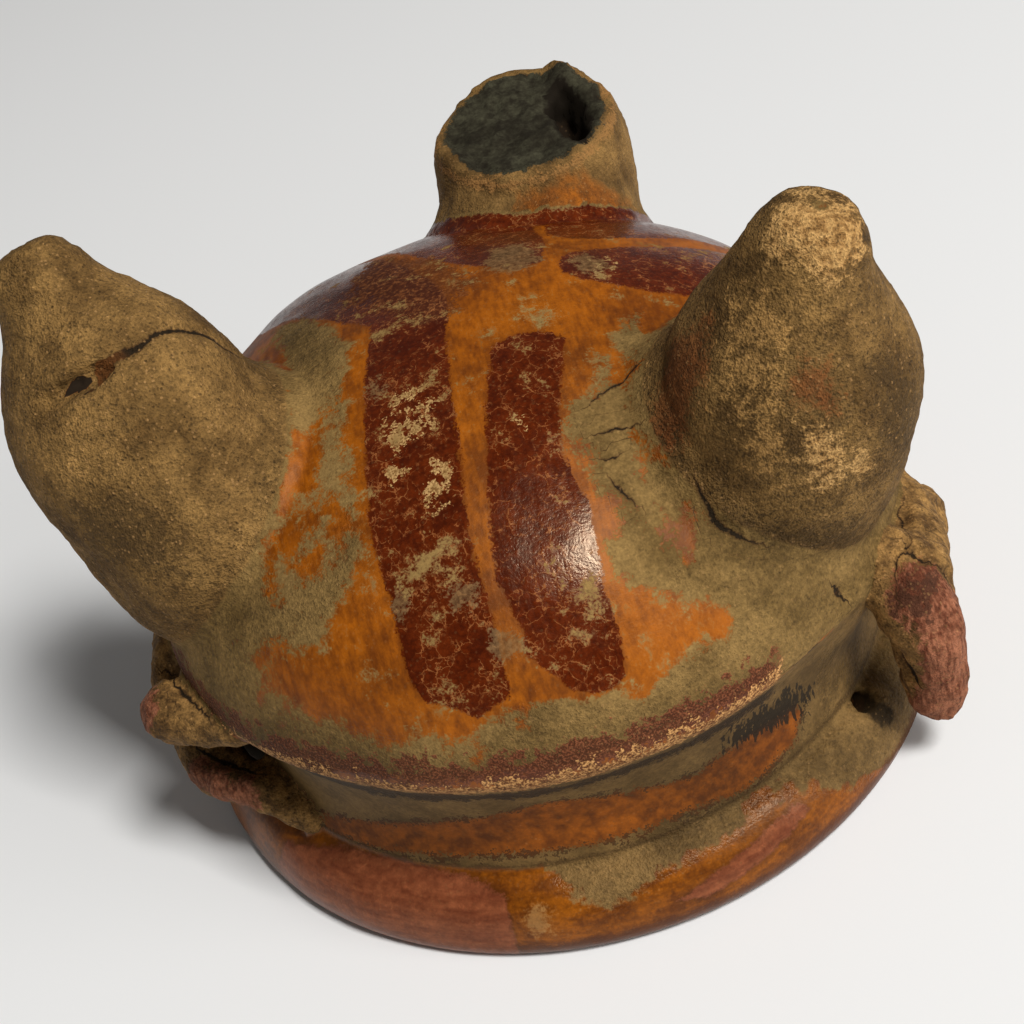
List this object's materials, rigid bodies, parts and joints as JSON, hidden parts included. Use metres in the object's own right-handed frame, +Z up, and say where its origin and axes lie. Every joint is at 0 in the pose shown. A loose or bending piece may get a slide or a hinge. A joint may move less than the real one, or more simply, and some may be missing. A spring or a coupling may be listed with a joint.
{
  "type": "tripod footed bowl",
  "caption": "Painted clay serving bowl on hollow swelling feet, one foot broken off at the tip, set upside down on its rim, with a modelled lug on each side.",
  "frame": {"origin": "middle of the bounding box on the plane that the rim rests on", "axes": "+Z up from the rim towards the feet, so the bowl stands upside down as pictured; +X to the right in the picture; +Y away from the camera"},
  "size_m": [0.158, 0.1538, 0.1197],
  "materials": {
    "fired_clay": "worn burnished slip over earthenware"
  },
  "bodies": {
    "root": {"tripod_bowl": "fired_clay"}
  },
  "joints": []
}
